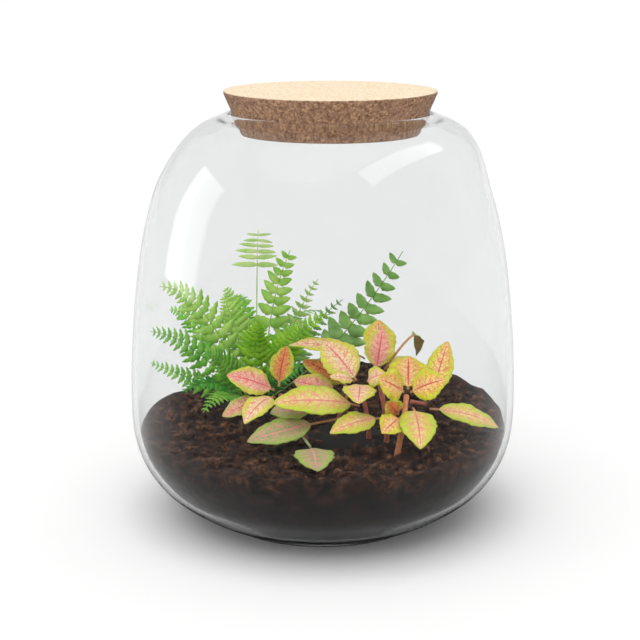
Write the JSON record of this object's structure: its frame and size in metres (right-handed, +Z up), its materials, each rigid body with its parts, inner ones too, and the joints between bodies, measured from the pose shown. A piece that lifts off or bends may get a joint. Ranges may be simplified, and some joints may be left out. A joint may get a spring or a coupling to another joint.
{
  "type": "glass plant terrarium",
  "caption": "Rounded clear glass jar with a cork stopper, part filled with soil and planted with a fern and a pink-veined nerve plant.",
  "frame": {"origin": "centre of the jar's flat foot, where it rests", "axes": "+Z up along the jar's axis; the planted show side faces -Y, the fern leans to -X and the nerve plant to +X"},
  "size_m": [0.23, 0.23, 0.2557],
  "materials": {
    "glass": "clear, polished",
    "cork": "pressed granulated cork, matte",
    "soil": "loose fibrous potting soil",
    "root_plug": "dark rooted peat",
    "nerve_leaf": "soft leaf with a pink vein network",
    "nerve_stem": "downy reddish stem",
    "fern_green": "thin leathery frond"
  },
  "bodies": {
    "root": {"cork_stopper": "cork", "fern_frond_01": "fern_green", "fern_frond_02": "fern_green", "fern_frond_03": "fern_green", "fern_frond_04": "fern_green", "fern_frond_05": "fern_green", "fern_frond_06": "fern_green", "fern_frond_07": "fern_green", "fern_frond_08": "fern_green", "fern_frond_09": "fern_green", "fern_frond_10": "fern_green", "fern_frond_11": "fern_green", "fern_frond_12": "fern_green", "fern_frond_13": "fern_green", "fern_frond_14": "fern_green", "fern_frond_15": "fern_green", "fern_frond_16": "fern_green", "fern_frond_17": "fern_green", "fern_frond_18": "fern_green", "fern_frond_19": "fern_green", "fern_frond_20": "fern_green", "fern_rootstock": "root_plug", "glass_jar": "glass", "nerve_leaf_01": "nerve_leaf", "nerve_leaf_02": "nerve_leaf", "nerve_leaf_03": "nerve_leaf", "nerve_leaf_04": "nerve_leaf", "nerve_leaf_05": "nerve_leaf", "nerve_leaf_06": "nerve_leaf", "nerve_leaf_07": "nerve_leaf", "nerve_leaf_08": "nerve_leaf", "nerve_leaf_09": "nerve_leaf", "nerve_leaf_10": "nerve_leaf", "nerve_leaf_11": "nerve_leaf", "nerve_leaf_12": "nerve_leaf", "nerve_leaf_13": "nerve_leaf", "nerve_leaf_14": "nerve_leaf", "nerve_leaf_15": "nerve_leaf", "nerve_leaf_16": "nerve_leaf", "nerve_leaf_17": "nerve_leaf", "nerve_leaf_18": "nerve_leaf", "nerve_leaf_19": "nerve_leaf", "nerve_leaf_20": "nerve_leaf", "nerve_leaf_21": "nerve_leaf", "nerve_leaf_22": "nerve_leaf", "nerve_leaf_23": "nerve_leaf", "nerve_leaf_24": "nerve_leaf", "nerve_leaf_25": "nerve_leaf", "nerve_leaf_26": "nerve_leaf", "nerve_leaf_27": "nerve_leaf", "nerve_leaf_28": "nerve_leaf", "nerve_plant_root_plug": "root_plug", "nerve_side_stalk_front": "nerve_stem", "nerve_side_stalk_right": "nerve_stem", "nerve_stem_back": "nerve_stem", "nerve_stem_centre": "nerve_stem", "nerve_stem_left": "nerve_stem", "nerve_stem_low": "nerve_stem", "nerve_stem_right": "nerve_stem", "potting_soil": "soil"}
  },
  "joints": []
}
